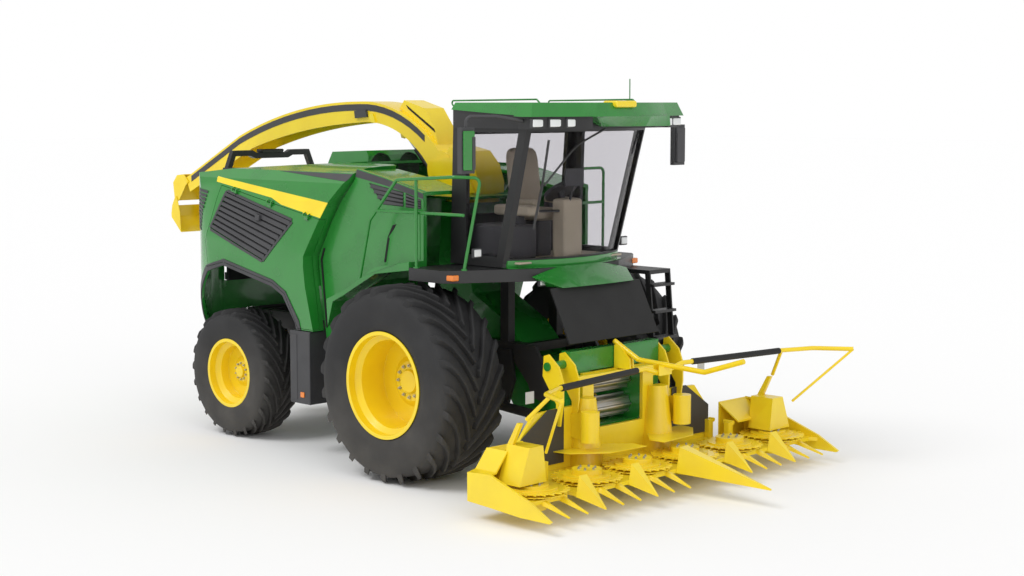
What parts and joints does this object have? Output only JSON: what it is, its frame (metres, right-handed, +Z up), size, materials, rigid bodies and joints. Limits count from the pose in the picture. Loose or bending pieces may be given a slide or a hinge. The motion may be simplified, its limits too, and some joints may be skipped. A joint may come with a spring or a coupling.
{
  "type": "self-propelled forage harvester with rotary maize header",
  "caption": "Self-propelled forage harvester with a rotary row-independent maize header, steered rear wheels, glazed cab and a discharge spout that turns and lifts.",
  "frame": {"origin": "centre of the bounding box on the ground, below the machine", "axes": "+X forward, +Y to the machine's left, +Z up"},
  "size_m": [9.593, 4.7026, 4.18],
  "materials": {
    "tyre": "matt black rubber",
    "yellow_paint": "gloss yellow paint",
    "green_paint": "gloss green paint",
    "black_paint": "satin black paint",
    "engine_paint": "satin green paint",
    "grey_plastic": "textured dark grey",
    "black_plastic": "gloss black",
    "black_rubber": "matt sheet",
    "seat_fabric": "woven fabric",
    "clear_glass": "lightly tinted",
    "chrome_rod": "ground and plated",
    "bare_steel": "worn bright"
  },
  "bodies": {
    "machine": {"front_axle": "black_paint", "rear_axle": "black_paint", "main_frame": "black_paint", "crop_channel": "green_paint", "engine_block": "engine_paint", "hood_shell": "green_paint", "rear_grille": "grey_plastic", "deck_housing": "green_paint", "flanks": "green_paint", "side_boxes": "black_paint", "cab_shell": "black_paint", "front_panel": "green_paint", "cab_glass": "clear_glass", "cab_roof": "green_paint", "driver_seat": "seat_fabric", "steering_column": "grey_plastic", "platform": "black_paint", "railings": "green_paint", "mirrors": "black_plastic", "apron": "black_rubber", "spout_rest": "black_paint"},
    "front_wheel_left": {"front_tyre_left": "tyre", "front_rim_left": "yellow_paint"},
    "front_wheel_right": {"front_tyre_right": "tyre", "front_rim_right": "yellow_paint"},
    "steering_rod": {"steering_rod": "chrome_rod"},
    "knuckle_left": {"knuckle_left": "black_paint"},
    "knuckle_right": {"knuckle_right": "black_paint"},
    "rear_wheel_left": {"rear_tyre_left": "tyre", "rear_rim_left": "yellow_paint"},
    "rear_wheel_right": {"rear_tyre_right": "tyre", "rear_rim_right": "yellow_paint"},
    "service_door_left": {"service_door_left": "green_paint", "side_grille_left": "grey_plastic"},
    "service_door_right": {"service_door_right": "green_paint", "side_grille_right": "grey_plastic"},
    "cab_door": {"cab_door": "black_paint", "cab_door_glass": "clear_glass"},
    "spout_turntable": {"spout_turntable": "yellow_paint"},
    "spout_boom": {"spout_boom": "yellow_paint"},
    "spout_cylinder_barrel": {"spout_cylinder_barrel": "black_paint"},
    "spout_cylinder_rod": {"spout_cylinder_rod": "chrome_rod"},
    "spout_flap": {"spout_flap": "yellow_paint"},
    "spout_tip_flap": {"spout_tip_flap": "yellow_paint"},
    "intake": {"intake": "green_paint", "header_frame": "yellow_paint"},
    "feed_roll_upper": {"feed_roll_upper": "bare_steel"},
    "feed_roll_lower": {"feed_roll_lower": "bare_steel"},
    "lift_cylinder_barrels": {"lift_cylinder_barrels": "black_paint"},
    "lift_cylinder_rods": {"lift_cylinder_rods": "chrome_rod"},
    "header_wing_left": {"header_wing_left": "yellow_paint"},
    "header_wing_right": {"header_wing_right": "yellow_paint"},
    "push_bar_left": {"push_bar_left": "yellow_paint"},
    "push_bar_right": {"push_bar_right": "yellow_paint"},
    "rotor_1": {"rotor_1": "yellow_paint"},
    "rotor_2": {"rotor_2": "yellow_paint"},
    "rotor_3": {"rotor_3": "yellow_paint"},
    "rotor_4": {"rotor_4": "yellow_paint"},
    "rotor_5": {"rotor_5": "yellow_paint"},
    "rotor_6": {"rotor_6": "yellow_paint"}
  },
  "joints": [
    {"name": "front_wheel_left_spin", "type": "hinge", "parent": "machine", "child": "front_wheel_left", "pos_m": [1.2335, 1.4605, 1.034], "axis": [0, 1, 0], "continuous": true},
    {"name": "knuckle_left_steer", "type": "hinge", "parent": "machine", "child": "knuckle_left", "pos_m": [-2.0395, 0.84, 0.757], "axis": [0, 0, 1], "range_deg": [-30, 30]},
    {"name": "rear_wheel_left_spin", "type": "hinge", "parent": "knuckle_left", "child": "rear_wheel_left", "pos_m": [-2.0395, 1.14, 0.757], "axis": [0, 1, 0], "continuous": true},
    {"name": "front_wheel_right_spin", "type": "hinge", "parent": "machine", "child": "front_wheel_right", "pos_m": [1.2335, -1.4605, 1.034], "axis": [0, 1, 0], "continuous": true},
    {"name": "knuckle_right_steer", "type": "hinge", "parent": "machine", "child": "knuckle_right", "pos_m": [-2.0395, -0.84, 0.757], "axis": [0, 0, 1], "range_deg": [-30.5, 30.5]},
    {"name": "rear_wheel_right_spin", "type": "hinge", "parent": "knuckle_right", "child": "rear_wheel_right", "pos_m": [-2.0395, -1.14, 0.757], "axis": [0, 1, 0], "continuous": true},
    {"name": "steering_rod_slide", "type": "slide", "parent": "machine", "child": "steering_rod", "axis": [0, 1, 0], "range_m": [-0.12, 0.12]},
    {"name": "service_door_left_hinge", "type": "hinge", "parent": "machine", "child": "service_door_left", "pos_m": [-2.0665, 1.439, 2.958], "axis": [0.9852, 0.0223, -0.1701], "range_deg": [0, 70]},
    {"name": "service_door_right_hinge", "type": "hinge", "parent": "machine", "child": "service_door_right", "pos_m": [-2.0665, -1.439, 2.958], "axis": [-0.9852, 0.0223, 0.1701], "range_deg": [0, 70]},
    {"name": "cab_door_hinge", "type": "hinge", "parent": "machine", "child": "cab_door", "pos_m": [1.4185, 0.95, 2.9], "axis": [0, 0, 1], "range_deg": [0, 75]},
    {"name": "spout_turn", "type": "hinge", "parent": "machine", "child": "spout_turntable", "pos_m": [0.6735, 0, 2.9], "axis": [0, 0, 1], "range_deg": [-105, 105]},
    {"name": "spout_lift", "type": "hinge", "parent": "spout_turntable", "child": "spout_boom", "pos_m": [0.3535, 0, 3.195], "axis": [0, 1, 0], "range_deg": [0, 35]},
    {"name": "spout_cylinder_swing", "type": "hinge", "parent": "spout_turntable", "child": "spout_cylinder_barrel", "pos_m": [0.1235, 0, 3.055], "axis": [0, 1, 0], "range_deg": [-1, 40]},
    {"name": "spout_cylinder_stroke", "type": "slide", "parent": "spout_cylinder_barrel", "child": "spout_cylinder_rod", "axis": [-0.724, 0, 0.6898], "range_m": [0, 0.2]},
    {"name": "spout_flap_hinge", "type": "hinge", "parent": "spout_boom", "child": "spout_flap", "pos_m": [-4.4565, 0, 2.89], "axis": [0, 1, 0], "range_deg": [-20, 45]},
    {"name": "spout_tip_flap_hinge", "type": "hinge", "parent": "spout_flap", "child": "spout_tip_flap", "pos_m": [-4.6915, 0, 2.67], "axis": [0, 1, 0], "range_deg": [-20, 40]},
    {"name": "header_lift", "type": "hinge", "parent": "machine", "child": "intake", "pos_m": [2.1835, 0, 0.95], "axis": [0, -1, 0], "range_deg": [0, 25], "deforming": ["apron"]},
    {"name": "lift_cylinder_swing", "type": "hinge", "parent": "machine", "child": "lift_cylinder_barrels", "pos_m": [1.5835, 0, 0.72], "axis": [0, -1, 0], "range_deg": [-1, 20]},
    {"name": "lift_cylinder_stroke", "type": "slide", "parent": "lift_cylinder_barrels", "child": "lift_cylinder_rods", "axis": [0.9971, 0, -0.076], "range_m": [0, 0.12]},
    {"name": "feed_roll_lower_spin", "type": "hinge", "parent": "intake", "child": "feed_roll_lower", "pos_m": [2.5635, 0, 0.745], "axis": [0, 1, 0], "continuous": true},
    {"name": "feed_roll_upper_spin", "type": "hinge", "parent": "intake", "child": "feed_roll_upper", "pos_m": [2.5435, 0, 1.035], "axis": [0, 1, 0], "continuous": true},
    {"name": "header_wing_left_fold", "type": "hinge", "parent": "intake", "child": "header_wing_left", "pos_m": [2.9335, 1.5256, 0.45], "axis": [1, 0, 0], "range_deg": [0, 90]},
    {"name": "header_wing_right_fold", "type": "hinge", "parent": "intake", "child": "header_wing_right", "pos_m": [2.9335, -1.5256, 0.45], "axis": [1, 0, 0], "range_deg": [-91, 0]},
    {"name": "push_bar_left_lift", "type": "hinge", "parent": "intake", "child": "push_bar_left", "pos_m": [3.4255, 0.072, 1.206], "axis": [1, 0, 0], "range_deg": [0, 38.5]},
    {"name": "push_bar_right_lift", "type": "hinge", "parent": "intake", "child": "push_bar_right", "pos_m": [3.4255, -0.072, 1.206], "axis": [1, 0, 0], "range_deg": [-38.5, 0]},
    {"name": "rotor_1_spin", "type": "hinge", "parent": "header_wing_right", "child": "rotor_1", "pos_m": [3.4235, -1.907, 0.3], "axis": [0, 0, 1], "continuous": true},
    {"name": "rotor_2_spin", "type": "hinge", "parent": "intake", "child": "rotor_2", "pos_m": [3.4235, -1.1442, 0.3], "axis": [0, 0, 1], "continuous": true},
    {"name": "rotor_3_spin", "type": "hinge", "parent": "intake", "child": "rotor_3", "pos_m": [3.4235, -0.3814, 0.3], "axis": [0, 0, 1], "continuous": true},
    {"name": "rotor_4_spin", "type": "hinge", "parent": "intake", "child": "rotor_4", "pos_m": [3.4235, 0.3814, 0.3], "axis": [0, 0, 1], "continuous": true},
    {"name": "rotor_5_spin", "type": "hinge", "parent": "intake", "child": "rotor_5", "pos_m": [3.4235, 1.1442, 0.3], "axis": [0, 0, 1], "continuous": true},
    {"name": "rotor_6_spin", "type": "hinge", "parent": "header_wing_left", "child": "rotor_6", "pos_m": [3.4235, 1.907, 0.3], "axis": [0, 0, 1], "continuous": true}
  ],
  "couplings": [
    {"joint": "knuckle_right_steer", "follows": "knuckle_left_steer", "ratio": 1},
    {"joint": "steering_rod_slide", "follows": "knuckle_left_steer", "m_per_rad": 0.17189},
    {"joint": "spout_cylinder_swing", "follows": "spout_lift", "ratio": 0.98735},
    {"joint": "spout_cylinder_stroke", "follows": "spout_lift", "m_per_rad": 0.26489},
    {"joint": "lift_cylinder_swing", "follows": "header_lift", "ratio": 0.45307},
    {"joint": "lift_cylinder_stroke", "follows": "header_lift", "m_per_rad": 0.21609},
    {"joint": "feed_roll_upper_spin", "follows": "feed_roll_lower_spin", "ratio": -1},
    {"joint": "header_wing_right_fold", "follows": "header_wing_left_fold", "ratio": -1},
    {"joint": "push_bar_left_lift", "follows": "header_wing_left_fold", "ratio": 0.42},
    {"joint": "push_bar_right_lift", "follows": "header_wing_left_fold", "ratio": -0.42},
    {"joint": "rotor_1_spin", "follows": "rotor_3_spin", "ratio": 1},
    {"joint": "rotor_2_spin", "follows": "rotor_3_spin", "ratio": 1},
    {"joint": "rotor_4_spin", "follows": "rotor_3_spin", "ratio": -1},
    {"joint": "rotor_5_spin", "follows": "rotor_3_spin", "ratio": -1},
    {"joint": "rotor_6_spin", "follows": "rotor_3_spin", "ratio": -1}
  ]
}
